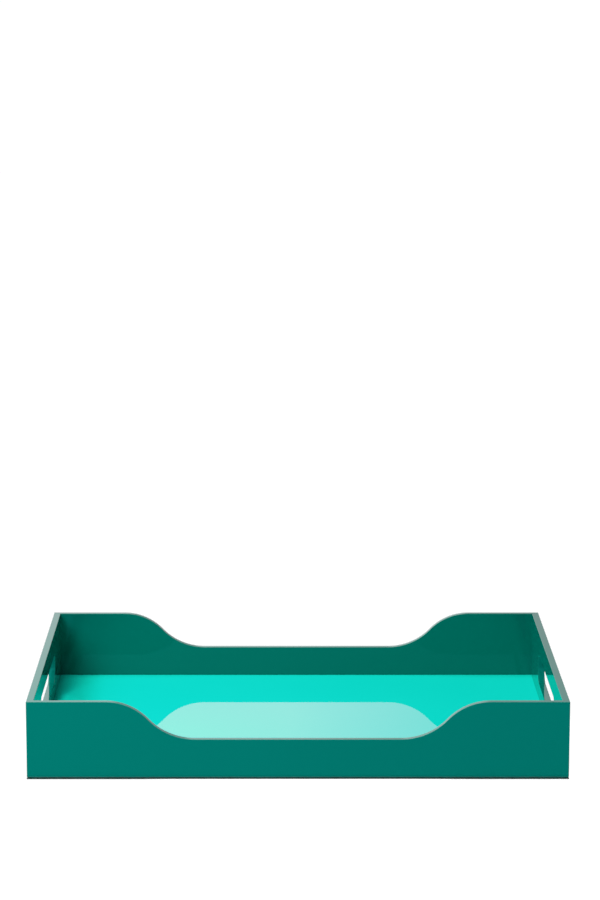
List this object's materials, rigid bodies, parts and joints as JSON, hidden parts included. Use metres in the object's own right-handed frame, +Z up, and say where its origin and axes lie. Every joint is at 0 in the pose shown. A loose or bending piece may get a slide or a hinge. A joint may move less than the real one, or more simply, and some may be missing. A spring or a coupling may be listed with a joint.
{
  "type": "serving tray",
  "caption": "Rectangular gloss-lacquered serving tray with scooped long sides, a hand slot in each end and a contrasting floor.",
  "frame": {"origin": "centre of the underside, on the felt", "axes": "+X along the long scooped sides to the right end, +Y towards the back side, +Z up"},
  "size_m": [0.5, 0.35, 0.0729],
  "materials": {
    "frame_lacquer": "fibreboard under high-gloss deep teal lacquer, arrises eased",
    "floor_lacquer": "fibreboard under high-gloss turquoise lacquer",
    "felt": "short-napped black-green felt, glued",
    "brad_steel": "bright drawn wire"
  },
  "bodies": {
    "root": {"front_side": "frame_lacquer", "back_side": "frame_lacquer", "left_end": "frame_lacquer", "right_end": "frame_lacquer", "floor_board": "floor_lacquer", "base_felt": "felt", "corner_brads": "brad_steel", "floor_brads": "brad_steel"}
  },
  "joints": []
}
